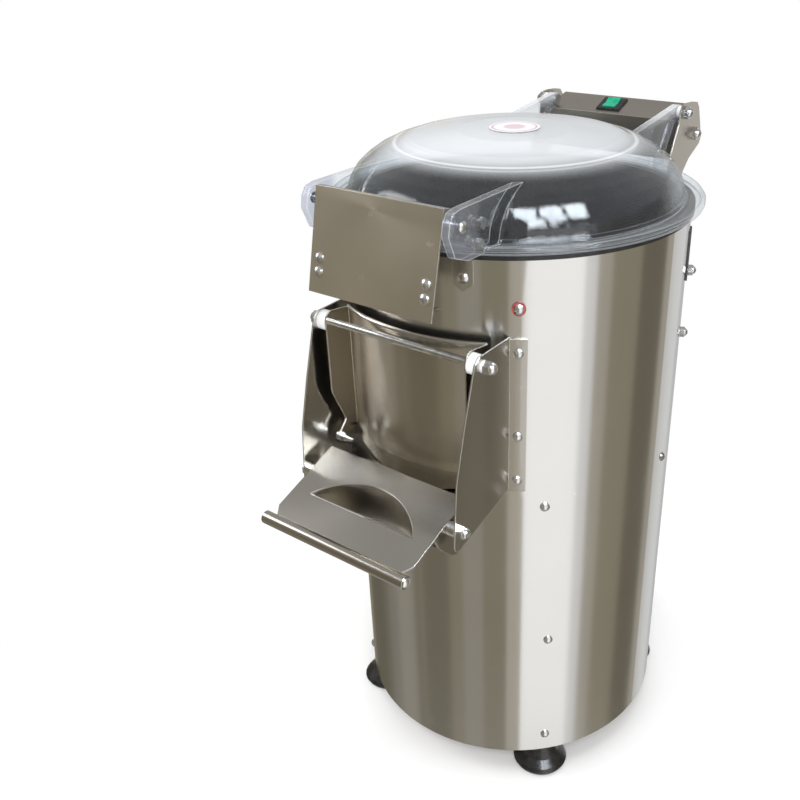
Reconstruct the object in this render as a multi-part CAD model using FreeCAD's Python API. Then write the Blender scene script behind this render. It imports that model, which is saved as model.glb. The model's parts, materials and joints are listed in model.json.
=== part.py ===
import FreeCAD, Part
import math
import os

# Electric potato peeler: a steel drum on four feet, with a clear hinged lid, a front
# latch plate, a hanging discharge door, a lever plate with a bar, and a belt drive inside.
# Millimetres. Everything is drawn about the drum's axis, with z = 0 at the lower edge of
# the drum, the front at -Y and +X on the right of someone who faces the front.
# save() then moves it to the part's frame, which stands on the floor.

V = FreeCAD.Vector
Rotation = FreeCAD.Rotation
Placement = FreeCAD.Placement
UP = V(0, 0, 1)
SIDES = (-1, 1)

# Fits
play = 0.3
running_fit = 0.08
hole_clearance = 0.2

# Drum shell
body_radius = 190.0
body_wall = 1.2
body_height = 638.0
seat_gap = 0.1
shell_seam = 370.0
base_wall = 3.0
base_hole_radius = 60.0

# Feet
foot_height = 33.0
foot_radius = 33.0
foot_neck_radius = 15.0
foot_circle = 171.0
foot_stud_radius = 4.0
foot_pocket = 16.0

# Fasteners
screw_head_radius = 5.2
screw_head_height = 3.2
screw_radius = 2.5
nut_flats = 10.0
nut_height = 5.0
big_nut_flats = 13.0
big_nut_height = 7.0

# Inner legs and the plate that carries the motor
leg_width = 34.0
leg_wall = 3.0
leg_shelf = 26.0
leg_angles = (46.5, 133.5, 226.5, 313.5)
leg_screw_heights = (25.0, 175.0)
motor_plate_height = 226.0
motor_plate_wall = 4.0
motor_plate_radius = 176.0

# Peeling chamber
floor_height = 352.0
floor_wall = 4.0
floor_skirt = 14.0
floor_screw_height = 359.0
floor_screw_angles = (44.0, 98.0, 152.0, 208.0, 262.0, 316.0)
liner_wall = 3.0
liner_top = 632.0
disc_radius = 178.0
disc_height = 373.0
disc_wall = 9.0
disc_wave = 5.0

# Bearing housing and drive shaft
shaft_radius = 12.0
housing_radius = 32.0
housing_bottom = 292.0
housing_flange_radius = 58.0
housing_flange_wall = 8.0
housing_bolt_circle = 50.0
bearing_outer = 23.5
bearing_width = 14.0
seal_width = 7.0
pulley_radius = 58.0
pulley_width = 16.0
pulley_height = 262.0
shaft_bottom = 256.0

# Motor and belt
motor_offset = 108.0
motor_radius = 56.0
motor_length = 150.0
motor_shaft_radius = 7.0
small_pulley_radius = 26.0
belt_width = 9.0
groove_depth = 8.0
motor_bolt_radius = 3.0
motor_bolt_length = 18.0

# Discharge opening, sill and seal
opening_half = 72.0
opening_bottom = 406.0
opening_top = 526.0
sill_radius = 196.0
sill_wall = 1.5
sill_bottom = 377.0
sill_half = 86.0
apron_y = -197.0
apron_z = 375.0
apron_slope = 0.28
apron_front = -258.0
apron_step_y = -213.0
apron_half = 100.7
apron_narrow_half = 86.0
apron_hanger = 9.0
seal_face = 199.2
seal_width_side = 9.0
seal_top_margin = 7.0

# Side webs of the chute
web_inner = 101.0
web_wall = 1.5
web_flange_angle = 37.6
web_flange_bottom = 381.0
web_flange_top = 554.0
web_screw_angle = 34.9
web_screw_heights = (394.4, 446.4, 538.7)
ring_screw_height = 584.6

# Door and its rod
rod_y = -206.0
rod_z = 543.0
rod_radius = 4.0
rod_half = 113.0
door_radius = 199.5
door_wall = 1.5
door_half = 88.0
door_top = 552.0
door_bottom = 403.6
door_corner_half = 58.0
door_corner_rise = 9.0
door_hem_radius = 2.0
door_front = -215.5
latch_bolt_y = -205.5
latch_bolt_z = 406.0
latch_bolt_radius = 2.5
latch_nut_radius = 5.4
bush_radius = 10.5
bush_neck_radius = 6.0
bush_sleeve = 3.0
hinge_bush_radius = 7.0

# Lever plate and its bar
lever_pivot_y = -248.0
lever_pivot_z = 381.0
lever_tilt = 20.1
lever_top = 8.5
lever_inner = 31.9
lever_wall = 2.0
lever_half = 91.0
lever_reach = 75.7
bar_radius = 7.0
bar_half = 94.0
hand_hole_half = 70.0
hand_hole_edge = 32.0
hand_hole_crown = -5.7
ear_wall = 2.0
ear_drop = 40.0
pivot_bolt_radius = 4.0

# Lid
gasket_wall = 3.0
gasket_height = 4.5
gasket_drop = 5.0
lid_wall = 3.0
brim_radius = 203.0
brim_height = 643.0
brim_lip = 2.2
brim_bead = 4.0
lug_half = 80.0
lug_wall = 8.0
lug_radius = 8.0
ear_bolt_radius = 3.0
ear_bolt_places = ((-188.0, 673.0), (-192.0, 655.0))
label_radius = 27.0
label_wall = 0.6

# Front latch plate
latch_half = 75.5
latch_top_y = -224.4
latch_top_z = 692.6
latch_bottom_y = -247.1
latch_bottom_z = 593.3
latch_wall = 1.5
latch_flange = 10.0
latch_pivot_y = -215.0
latch_pivot_z = 676.0
latch_screw_x = 64.9
latch_screw_drops = (68.0, 81.5)
keeper_angle = 19.1
keeper_screw_height = 614.0

# Rear bracket with the switch box
hinge_y = 217.0
hinge_z = 702.0
hinge_pin_radius = 4.0
bracket_inner = 94.0
bracket_wall = 1.5
box_bolt_y = 246.0
box_bolt_z = 673.0
bracket_reach = 272.0
cover_front_y = 214.5
cover_front_z = 692.0
cover_rear_y = 250.0
cover_rear_z = 706.0
cover_front_half = 92.0
cover_rear_half = 84.0
cover_wall = 1.5
box_floor_z = 646.0
switch_x = -8.0
switch_along = 19.5
bezel_width = 31.0
bezel_depth = 25.5
bezel_height = 2.5
rocker_width = 17.0
rocker_depth = 19.0
rocker_pin_radius = 1.5
rocker_pin_half = 10.5
rocker_pin_z = -1.0

# Drain, gland and side fittings
drain_radius = 25.0
drain_wall = 3.0
drain_height = 322.0
drain_reach = 232.0
gland_height = 62.0
gland_radius = 8.0
gland_flats = 22.0
gland_seat = 0.9
hose_radius = 24.0
collar_radius = 31.0
collar_wall = 3.0
side_bolt_angle = 113.0
side_bolt_heights = (567.0, 494.0)

# Set at the end of the file, where the front of the bar is known.
frame_shift = V(0, 0, foot_height)


def save(name, shapes):
    """Write one node's solids, moved to the part's frame."""
    solids = []
    for shape in shapes if isinstance(shapes, (list, tuple)) else [shapes]:
        moved = shape.copy()
        moved.translate(frame_shift)
        solids.extend(moved.Solids)
    result = solids[0] if len(solids) == 1 else Part.makeCompound(solids)
    result.exportStep("parts/" + name + ".step")
    print(name, len(solids), "solids")


def tube(outer, inner, bottom, height):
    """An upright ring about the drum's axis."""
    ring = Part.makeCylinder(outer, height, V(0, 0, bottom))
    return ring.cut(Part.makeCylinder(inner, height, V(0, 0, bottom)))


def box(x0, x1, y0, y1, z0, z1):
    """A block between two corners."""
    return Part.makeBox(x1 - x0, y1 - y0, z1 - z0, V(x0, y0, z0))


def radial(angle):
    """The outward direction at an angle from the front, positive to the right."""
    turn = math.radians(angle)
    return V(math.sin(turn), -math.cos(turn), 0)


def aim(shape, origin, direction):
    """Place a shape drawn along +Z so that it starts at origin and points along direction."""
    placed = shape.copy()
    placed.Placement = Placement(origin, Rotation(UP, direction))
    return placed


def sector(outer, inner, bottom, top, start, end):
    """A curved strip of the drum between two angles from the front."""
    sweep = end - start
    strip = Part.makeCylinder(outer, top - bottom, V(0, 0, bottom), UP, sweep)
    hollow = Part.makeCylinder(inner, top - bottom, V(0, 0, bottom), UP, sweep)
    strip = strip.cut(hollow)
    strip.rotate(V(0, 0, 0), UP, start - 90)
    return strip


def side_plate(points, x0, x1):
    """A flat plate that stands along Y and Z, from its outline of (y, z) points."""
    corners = [V(x0, y, z) for y, z in points]
    outline = Part.makePolygon(corners + [corners[0]])
    return Part.Face(outline).extrude(V(x1 - x0, 0, 0))


def cross_rod(radius, x0, x1, y, z):
    """A round bar along X."""
    return Part.makeCylinder(radius, x1 - x0, V(x0, y, z), V(1, 0, 0))


def revolve(points):
    """A solid of revolution about the drum's axis, from its outline of (radius, z) points."""
    corners = [V(r, 0, z) for r, z in points]
    outline = Part.makePolygon(corners + [corners[0]])
    return Part.Face(outline).revolve(V(0, 0, 0), UP, 360)


def dome(radius, height):
    """A low round cap on the plane z = 0."""
    ball = (radius ** 2 + height ** 2) / (2 * height)
    low = math.degrees(math.asin((ball - height) / ball))
    return Part.makeSphere(ball, V(0, 0, height - ball), UP, low, 90, 360)


def dome_screw(length, head=screw_head_radius, shank=screw_radius):
    """A dome-head screw along Z: its head stands on z = 0 and its shank goes down."""
    rim = Part.makeCylinder(head, screw_head_height * 0.3)
    cap = dome(head, screw_head_height * 0.7)
    cap.translate(V(0, 0, screw_head_height * 0.3))
    return rim.fuse(cap).fuse(Part.makeCylinder(shank, length, V(0, 0, -length))).removeSplitter()


def hexagon(flats, height):
    """A hexagonal prism on the plane z = 0."""
    corner = flats / math.sqrt(3)
    points = [V(corner * math.cos(math.radians(60 * i)), corner * math.sin(math.radians(60 * i)), 0)
              for i in range(7)]
    return Part.Face(Part.makePolygon(points)).extrude(V(0, 0, height))


def cap_nut(flats, height):
    """A closed nut along Z with a domed end."""
    cap = dome(flats * 0.46, flats * 0.36)
    cap.translate(V(0, 0, height))
    return hexagon(flats, height).fuse(cap)


def drilled(shape, radius, origin, direction, length):
    """The shape with a round hole along a direction, centred on origin."""
    start = origin - direction * (length / 2)
    return shape.cut(Part.makeCylinder(radius, length, start, direction))


def drum_screws(angles, heights, seat, length=5.0):
    """Dome-head screws that stand on the drum at each angle and height."""
    return [aim(dome_screw(length), radial(angle) * seat + V(0, 0, height), radial(angle))
            for angle in angles for height in heights]


def drum_holes(shape, angles, heights, radius=screw_radius + hole_clearance):
    """The shape with holes for the drum's screws."""
    for angle in angles:
        for height in heights:
            outward = radial(angle)
            shape = drilled(shape, radius, outward * body_radius + V(0, 0, height), outward, 40.0)
    return shape


# Angles at which a piece fastens on both sides of the front
web_screw_angles = (-web_screw_angle, web_screw_angle)
keeper_angles = (-keeper_angle, keeper_angle)
side_bolt_angles = (-side_bolt_angle, side_bolt_angle)
bracket_screw_angles = (-145.5, 145.5)
bracket_screw_heights = (596.0, 618.0)


def shell_ring(bottom, top):
    """One ring of the drum's sheet with the holes that fall in it."""
    shell = tube(body_radius, body_radius - body_wall, bottom, top - bottom)
    cutters = [box(-opening_half, opening_half, -body_radius - 1, -body_radius / 2, opening_bottom, opening_top)]
    holes = [(leg_angles, leg_screw_heights, screw_radius), (floor_screw_angles, (floor_screw_height,), screw_radius),
             (web_screw_angles, web_screw_heights + (ring_screw_height,), screw_radius),
             (keeper_angles, (keeper_screw_height,), screw_radius), (side_bolt_angles, side_bolt_heights, 3.0),
             (bracket_screw_angles, bracket_screw_heights, screw_radius),
             ((180.0,), (drain_height,), drain_radius + play), ((180.0,), (gland_height,), gland_radius + play)]
    for angles, heights, radius in holes:
        for angle in angles:
            for height in heights:
                start = radial(angle) * (body_radius - 20.0) + V(0, 0, height)
                if bottom < height < top:
                    cutters.append(Part.makeCylinder(radius + hole_clearance, 40.0, start, radial(angle)))
    for cutter in cutters:
        shell = shell.cut(cutter)
    return shell


def make_shell():
    save("body_shell", shell_ring(shell_seam, body_height))
    save("lower_shell", shell_ring(0, shell_seam))


def make_base():
    plate = Part.makeCylinder(body_radius - body_wall - play, base_wall)
    plate = plate.cut(Part.makeCylinder(base_hole_radius, base_wall))
    for angle in leg_angles:
        plate = drilled(plate, foot_stud_radius + hole_clearance, radial(angle) * foot_circle, UP, 20.0)
    save("base_plate", plate)


def make_feet():
    bore = foot_stud_radius + hole_clearance
    profile = [(foot_neck_radius, 0), (foot_neck_radius + 2, -9), (foot_neck_radius + 7, -18),
               (foot_radius - 3, -25), (foot_radius, -29), (foot_radius - 2, -foot_height),
               (bore, -foot_height), (bore, 0)]
    foot = revolve(profile).cut(Part.makeCylinder(9.0, foot_pocket, V(0, 0, -foot_height)))
    seat = foot_pocket - foot_height
    top = base_wall + leg_wall
    stud = Part.makeCylinder(foot_stud_radius, top + 10.0 - seat, V(0, 0, seat))
    head = hexagon(big_nut_flats, 5.0)
    head.translate(V(0, 0, seat - 5.0))
    nut = hexagon(big_nut_flats, 6.0).cut(Part.makeCylinder(foot_stud_radius, 6.0))
    nut.translate(V(0, 0, top))
    stud = stud.fuse(head).removeSplitter()
    names = ("foot_front_right", "foot_rear_right", "foot_rear_left", "foot_front_left")
    bolts = []
    for name, angle in zip(names, leg_angles):
        place = radial(angle) * foot_circle
        save(name, foot.translated(place))
        bolts.extend([stud.translated(place), nut.translated(place)])
    save("foot_bolts", bolts)


def make_legs():
    outer = body_radius - body_wall - play
    legs = []
    for angle in leg_angles:
        half = math.degrees(leg_width / 2 / outer)
        leg = sector(outer, outer - leg_wall, base_wall, floor_height - play, angle - half, angle + half)
        shelf = sector(outer - leg_wall / 2, outer - leg_shelf, motor_plate_height - leg_wall,
                       motor_plate_height, angle - half, angle + half)
        toe = sector(outer - leg_wall / 2, foot_circle - 10.0, base_wall, base_wall + leg_wall,
                     angle - half, angle + half)
        leg = drum_holes(leg.fuse(shelf).fuse(toe).removeSplitter(), (angle,), leg_screw_heights)
        leg = drilled(leg, foot_stud_radius + hole_clearance, radial(angle) * foot_circle, UP, 20.0)
        legs.append(leg)
    save("inner_legs", legs)


def make_motor_plate():
    bottom = motor_plate_height
    plate = Part.makeCylinder(motor_plate_radius, motor_plate_wall, V(0, 0, bottom))
    plate = plate.cut(box(-motor_plate_radius, motor_plate_radius, -motor_plate_radius, -95.0,
                          bottom - 1, bottom + motor_plate_wall + 1))
    plate = plate.fuse(sector(motor_plate_radius, 96.0, bottom, bottom + motor_plate_wall, 36.0, 56.0))
    plate = plate.fuse(sector(motor_plate_radius, 96.0, bottom, bottom + motor_plate_wall, -56.0, -36.0))
    plate = plate.cut(Part.makeCylinder(36.0, motor_plate_wall, V(0, motor_offset, bottom)))
    for place in motor_bolt_places():
        plate = drilled(plate, motor_bolt_radius + hole_clearance, place, UP, 40.0)
    save("motor_plate", plate.removeSplitter())


def motor_bolt_places():
    reach = 45.0
    return [V(reach * math.cos(math.radians(45 + 90 * i)),
              motor_offset + reach * math.sin(math.radians(45 + 90 * i)), motor_plate_height)
            for i in range(4)]


def make_motor():
    centre = V(0, motor_offset, 0)
    top = motor_plate_height
    bottom = top - motor_length
    head = 16.0
    flange = Part.makeCylinder(motor_radius, head, centre + V(0, 0, top - head))
    for place in motor_bolt_places():
        flange = drilled(flange, motor_bolt_radius, place, UP, 60.0)
    barrel = Part.makeCylinder(motor_radius - 6.0, motor_length - head, centre + V(0, 0, bottom))
    cowl = Part.makeCylinder(motor_radius - 2.0, 24.0, centre + V(0, 0, bottom))
    body = flange.fuse(barrel).fuse(cowl)
    bore = Part.makeCylinder(motor_shaft_radius + running_fit, motor_length, centre + V(0, 0, bottom + 20.0))
    save("motor_body", body.cut(bore).removeSplitter())
    shaft_top = pulley_height + pulley_width + 6.0
    shaft_start = bottom + 22.0
    save("motor_shaft", Part.makeCylinder(motor_shaft_radius, shaft_top - shaft_start,
                                          centre + V(0, 0, shaft_start)))


def pulley(radius, bore, centre):
    """A grooved wheel about an upright axis."""
    middle = pulley_height + pulley_width / 2
    half = belt_width / 2
    floor = radius - groove_depth
    profile = [(bore, pulley_height), (radius, pulley_height), (radius, middle - half),
               (floor, middle - half * 0.6), (floor, middle + half * 0.6),
               (radius, middle + half), (radius, pulley_height + pulley_width),
               (bore, pulley_height + pulley_width)]
    wheel = revolve(profile)
    wheel.translate(centre)
    return wheel


def make_drive():
    save("driven_pulley", pulley(pulley_radius, shaft_radius, V(0, 0, 0)))
    save("motor_pulley", pulley(small_pulley_radius, motor_shaft_radius, V(0, motor_offset, 0)))
    middle = pulley_height + pulley_width / 2
    half = belt_width / 2 * 0.6 - play
    belt = belt_band(play + 2.0, half).cut(belt_band(play, half))
    belt.translate(V(0, 0, middle))
    save("v_belt", belt)


def belt_band(lift, half):
    """The closed outline of the belt at a distance outside the groove floors, as a slab."""
    big = pulley_radius - groove_depth + lift
    small = small_pulley_radius - groove_depth + lift
    lean = math.asin((big - small) / motor_offset)
    side = [V(big * math.cos(lean), big * math.sin(lean), -half),
            V(small * math.cos(lean), motor_offset + small * math.sin(lean), -half)]
    mirror = [V(-p.x, p.y, p.z) for p in side]
    edges = [Part.LineSegment(side[0], side[1]).toShape(),
             Part.Arc(side[1], V(0, motor_offset + small, -half), mirror[1]).toShape(),
             Part.LineSegment(mirror[1], mirror[0]).toShape(),
             Part.Arc(mirror[0], V(0, -big, -half), side[0]).toShape()]
    return Part.Face(Part.Wire(edges)).extrude(V(0, 0, 2 * half))


def make_chamber():
    radius = body_radius - body_wall - play
    plate = Part.makeCylinder(radius, floor_wall, V(0, 0, floor_height))
    rim = tube(radius, radius - 2.0, floor_height, floor_skirt)
    plate = plate.fuse(rim).removeSplitter()
    plate = plate.cut(Part.makeCylinder(housing_radius + play, 20.0, V(0, 0, floor_height - 5)))
    plate = drum_holes(plate, floor_screw_angles, (floor_screw_height,))
    drain_mouth = V(0, radius - drain_radius - 14.0, floor_height)
    plate = drilled(plate, drain_radius - drain_wall, drain_mouth, UP, 20.0)
    for i in range(4):
        spot = radial(45 + 90 * i) * housing_bolt_circle + V(0, 0, floor_height)
        plate = drilled(plate, motor_bolt_radius + hole_clearance, spot, UP, 20.0)
    save("chamber_floor", plate)
    make_liner(radius)
    make_drain(drain_mouth)


def make_liner(radius):
    bottom = floor_height + floor_skirt + play
    liner = tube(radius, radius - liner_wall, bottom, liner_top - bottom)
    liner = liner.cut(box(-opening_half, opening_half, -body_radius, -body_radius / 2,
                          opening_bottom, opening_top))
    liner = drum_holes(liner, web_screw_angles, web_screw_heights + (ring_screw_height,))
    liner = drum_holes(liner, keeper_angles, (keeper_screw_height,))
    liner = drum_holes(liner, side_bolt_angles, side_bolt_heights, 3.0 + hole_clearance)
    liner = drum_holes(liner, bracket_screw_angles, bracket_screw_heights)
    save("abrasive_liner", liner)


def make_drain(mouth):
    """An elbow under the floor that leaves through the back of the shell as a hose end."""
    drop = floor_height - seat_gap - drain_height
    bore = drain_radius - drain_wall
    seat = body_radius + play
    below = V(mouth.x, mouth.y, drain_height - drain_radius)
    level = V(mouth.x, mouth.y, drain_height)
    back = V(0, 1, 0)
    spout = Part.makeCylinder(drain_radius, drop + drain_radius, below)
    spout = spout.fuse(Part.makeCylinder(drain_radius, seat - mouth.y, level, back))
    spout = spout.cut(box(-60, 60, mouth.y - 60, drain_reach, drain_height - 60, drain_height - drain_radius))
    spout = spout.fuse(Part.makeCylinder(collar_radius, collar_wall, V(mouth.x, seat, drain_height), back))
    spout = spout.fuse(Part.makeCylinder(hose_radius, drain_reach - seat, V(mouth.x, seat, drain_height), back))
    room = Part.makeCylinder(bore, drop + drain_radius, below + V(0, 0, drain_wall))
    way = Part.makeCylinder(bore, drain_reach, level, back)
    save("drain_spout", spout.cut(room).cut(way).removeSplitter())


def make_bearings():
    top = floor_height - seat_gap
    bore = bearing_outer
    housing = tube(housing_radius, bore, housing_bottom, top + 16.0 - housing_bottom)
    flange = tube(housing_flange_radius, housing_radius - 1, top - housing_flange_wall, housing_flange_wall)
    shoulder = tube(bore + 0.5, bore - 4.0, housing_bottom + bearing_width + 1, 12.0)
    housing = housing.fuse(flange).fuse(shoulder).removeSplitter()
    for i in range(4):
        spot = radial(45 + 90 * i) * housing_bolt_circle + V(0, 0, top)
        housing = drilled(housing, motor_bolt_radius + hole_clearance, spot, UP, 30.0)
    save("bearing_housing", housing)
    race = shaft_radius + running_fit
    lower = housing_bottom + 1
    upper = housing_bottom + bearing_width + 13.0
    save("bearings", [tube(bore, race, lower, bearing_width), tube(bore, race, upper, bearing_width)])
    save("shaft_seal", tube(bore, race, upper + bearing_width + 12.0, seal_width))
    make_inner_bolts()


def make_inner_bolts():
    """Hexagon bolts of the motor and of the bearing housing."""
    spots = [place + V(0, 0, motor_plate_wall) for place in motor_bolt_places()]
    spots += [radial(45 + 90 * i) * housing_bolt_circle + V(0, 0, floor_height + floor_wall) for i in range(4)]
    bolt = Part.makeCylinder(motor_bolt_radius, motor_bolt_length, V(0, 0, -motor_bolt_length))
    bolt = bolt.fuse(hexagon(nut_flats, 4.0))
    save("inner_bolts", [bolt.translated(spot) for spot in spots])


def make_spinner():
    shaft = Part.makeCylinder(shaft_radius, disc_height + disc_wall - shaft_bottom, V(0, 0, shaft_bottom))
    shaft = shaft.fuse(Part.makeCylinder(5.0, disc_height + disc_wall + 14 - shaft_bottom, V(0, 0, shaft_bottom)))
    save("drive_shaft", shaft.removeSplitter())
    disc = tube(disc_radius, shaft_radius, disc_height, disc_wall)
    for i in range(3):
        ridge = Part.makeCylinder(disc_wave * 3, disc_radius - 60.0, V(40.0, 0, disc_height + disc_wall - disc_wave * 2),
                                  V(1, 0, 0))
        ridge = ridge.common(box(30.0, disc_radius - 10.0, -40, 40, disc_height + 1, disc_height + 40))
        ridge.rotate(V(0, 0, 0), UP, 120.0 * i + 20)
        disc = disc.fuse(ridge)
    hub = tube(26.0, shaft_radius, disc_height - 3.0, 3.0)
    save("abrasive_disc", disc.fuse(hub).removeSplitter())
    nut = cap_nut(24.0, 10.0)
    nut = nut.cut(Part.makeCylinder(5.0, 14.0))
    nut.translate(V(0, 0, disc_height + disc_wall))
    save("disc_nut", nut)


def make_sill():
    """The fixed lip under the door, with a shelf back to the shell."""
    half = math.degrees(math.asin(sill_half / sill_radius))
    lip = sector(sill_radius + sill_wall, sill_radius, sill_bottom, opening_bottom + 0.6, -half, half)
    shelf = sector(sill_radius + sill_wall / 2, body_radius + seat_gap, opening_bottom - 6.0,
                   opening_bottom - 6.0 + sill_wall, -half, half)
    sill = lip.fuse(shelf).removeSplitter()
    for side in SIDES:
        corners = [V(side * 34, -260, sill_bottom - 1), V(side * (sill_half + 4), -260, sill_bottom - 1),
                   V(side * (sill_half + 4), -260, sill_bottom + 15.0)]
        wedge = Part.Face(Part.makePolygon(corners + [corners[0]])).extrude(V(0, 120, 0))
        sill = sill.cut(wedge)
    save("chute_sill", sill.fuse(make_apron()).removeSplitter())


def make_apron():
    """The sloping floor of the chute, below the lip, between the webs and then between the lever's ears."""
    rear, front = (-150.0, apron_z + (-150.0 - apron_y) * apron_slope), (apron_front,
                                                                       apron_z + (apron_front - apron_y) * apron_slope)
    outline = [rear, front, (front[0], front[1] - sill_wall), (rear[0], rear[1] - sill_wall)]
    sheet = side_plate(outline, -apron_half, apron_half)
    for side in SIDES:
        near, far = sorted((side * apron_narrow_half, side * (apron_half + 1.0)))
        sheet = sheet.cut(box(near, far, apron_front - 1.0, apron_step_y, 0, body_height))
    sheet = sheet.cut(Part.makeCylinder(body_radius + seat_gap, body_height))
    hanger = sector(sill_radius + sill_wall, sill_radius, apron_z - 2.0, sill_bottom + 1.0, -apron_hanger, apron_hanger)
    return sheet.fuse(hanger)


def make_seal():
    outer = opening_half + play + seal_width_side
    top = opening_top + seal_top_margin
    block = sector(seal_face, body_radius + seat_gap, opening_bottom + 2.0, top, -40, 40)
    block = block.common(box(-outer, outer, -240, -60, 0, body_height))
    block = block.cut(box(-opening_half - play, opening_half + play, -240, -60, 0, opening_top + play))
    save("door_seal", block)


def web_outline():
    return [(-150.0, 556.0), (-163.0, 556.0), (-212.0, 554.5), (-219.0, 549.0), (-222.0, 540.0),
            (-237.5, 487.0), (-251.0, 434.0), (-256.5, 364.0), (-253.0, 358.5), (-247.0, 358.5),
            (-160.0, 384.0), (-150.0, 387.0)]


def make_webs():
    names = {-1: "chute_web_left", 1: "chute_web_right"}
    inner = body_radius + seat_gap
    for side in SIDES:
        near, far = sorted((side * web_inner, side * (web_inner + web_wall)))
        plate = side_plate(web_outline(), near, far)
        plate = plate.cut(Part.makeCylinder(inner, body_height))
        bend = math.degrees(math.asin((web_inner + web_wall / 2) / inner))
        start, end = sorted((side * bend, side * web_flange_angle))
        flange = sector(inner + web_wall, inner, web_flange_bottom, web_flange_top, start, end)
        web = plate.fuse(flange).removeSplitter()
        web = drum_holes(web, (side * web_screw_angle,), web_screw_heights)
        for y, z, radius in ((rod_y, rod_z, bush_neck_radius + play),
                             (lever_pivot_y, lever_pivot_z, pivot_bolt_radius + hole_clearance)):
            web = drilled(web, radius, V(side * web_inner, y, z), V(1, 0, 0), 30.0)
        save(names[side], web)
    washers = []
    for angle in web_screw_angles:
        ring = Part.makeCylinder(7.0, 1.5).cut(Part.makeCylinder(screw_radius + hole_clearance, 1.5))
        washers.append(aim(ring, radial(angle) * (body_radius + seat_gap) + V(0, 0, ring_screw_height), radial(angle)))
    save("red_washers", washers)


def make_door():
    outer = door_radius + door_wall
    half = math.degrees(math.asin(door_half / door_radius))
    panel = sector(outer, door_radius, door_bottom, door_top, -half, half)
    for side in SIDES:
        corners = [V(side * door_corner_half, -260, door_bottom - 1), V(side * 100, -260, door_bottom - 1),
                   V(side * 100, -260, door_bottom + door_corner_rise * 1.3), V(side * door_half, -260,
                   door_bottom + door_corner_rise), V(side * door_corner_half, -260, door_bottom)]
        wedge = Part.Face(Part.makePolygon(corners + [corners[0]])).extrude(V(0, 120, 0))
        panel = panel.cut(wedge)
    hem = Part.makeTorus(outer, door_hem_radius, V(0, 0, door_top), UP, 0, 360, 2 * half)
    hem.rotate(V(0, 0, 0), UP, -half - 90)
    door = panel.fuse(hem)
    for side in SIDES:
        near, far = sorted((side * door_half, side * (door_half + door_wall)))
        back = -math.sqrt(outer ** 2 - door_half ** 2) + door_wall
        outline = [(back, door_top), (rod_y - 2, door_top + 4), (door_front + 1.5, door_top),
                   (door_front, door_top - 4), (door_front, 465.0), (-197.5, 424.0),
                   (latch_bolt_y - 4, latch_bolt_z + 5), (latch_bolt_y, latch_bolt_z - latch_nut_radius),
                   (back, door_bottom + door_corner_rise)]
        flange = side_plate(outline, near, far)
        flange = flange.fuse(cross_rod(latch_nut_radius, near, far, latch_bolt_y, latch_bolt_z))
        door = door.fuse(flange)
    door = door.removeSplitter()
    door = drilled(door, rod_radius + running_fit / 2, V(0, rod_y, rod_z), V(1, 0, 0), 2 * rod_half)
    door = drilled(door, latch_bolt_radius + running_fit, V(0, latch_bolt_y, latch_bolt_z), V(1, 0, 0), 2 * rod_half)
    save("door_panel", door)
    make_rod()
    make_latch_bolts()


def make_rod():
    save("door_rod", cross_rod(rod_radius, -rod_half, rod_half, rod_y, rod_z))
    nuts = []
    for side in SIDES:
        start = web_inner + web_wall + bush_sleeve
        nut = cap_nut(big_nut_flats, big_nut_height).cut(Part.makeCylinder(rod_radius, rod_half - start - play))
        nuts.append(aim(nut, V(side * (start + play), rod_y, rod_z), V(side, 0, 0)))
    save("rod_nuts", nuts)


def make_bushes():
    """White bushes: two carry the door's rod, two stand between the lid's ears and its brackets."""
    bushes = []
    for side in SIDES:
        inner_face = door_half + door_wall + play
        wide = web_inner - inner_face
        bush = Part.makeCylinder(bush_radius, wide).fuse(Part.makeCylinder(bush_neck_radius, wide + web_wall + bush_sleeve))
        bush = bush.cut(Part.makeCylinder(rod_radius + running_fit, 40.0)).removeSplitter()
        bushes.append(aim(bush, V(side * inner_face, rod_y, rod_z), V(side, 0, 0)))
        gap = bracket_inner - lug_half - lug_wall - play
        ring = Part.makeCylinder(hinge_bush_radius, gap).cut(Part.makeCylinder(hinge_pin_radius, gap))
        bushes.append(aim(ring, V(side * (lug_half + lug_wall + play), hinge_y, hinge_z), V(side, 0, 0)))
    save("white_bushes", bushes)


def make_latch_bolts():
    bolts = []
    for side in SIDES:
        across = V(side, 0, 0)
        shank = Part.makeCylinder(latch_bolt_radius, 24.0, V(0, 0, -16.0))
        head = Part.makeCylinder(latch_nut_radius - 0.4, 4.0, V(0, 0, door_wall))
        nut = hexagon(latch_nut_radius * math.sqrt(3) - 0.2, 5.0)
        nut.translate(V(0, 0, -5.0))
        bolt = shank.fuse(head).fuse(nut).fuse(Part.makeCylinder(latch_nut_radius - 1.6, 4.0, V(0, 0, -9.0)))
        bolt = bolt.cut(Part.makeCylinder(20.0, 10.0, V(0, 0, door_wall + 4.0)))
        bolts.append(aim(bolt.removeSplitter(), V(side * door_half, latch_bolt_y, latch_bolt_z), across))
    save("door_latch_bolts", bolts)


def lever_point(x, along, above):
    """A point given along the lever plate from its pivot, and above it."""
    tilt = math.radians(lever_tilt)
    return V(x, lever_pivot_y - along * math.cos(tilt) - above * math.sin(tilt),
             lever_pivot_z - along * math.sin(tilt) + above * math.cos(tilt))


def lever_slab(points, above, thickness):
    """A slab parallel to the lever plate, from its outline of (x, along) points."""
    corners = [lever_point(x, along, above) for x, along in points]
    rise = lever_point(0, 0, thickness) - lever_point(0, 0, 0)
    return Part.Face(Part.makePolygon(corners + [corners[0]])).extrude(rise)


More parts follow.
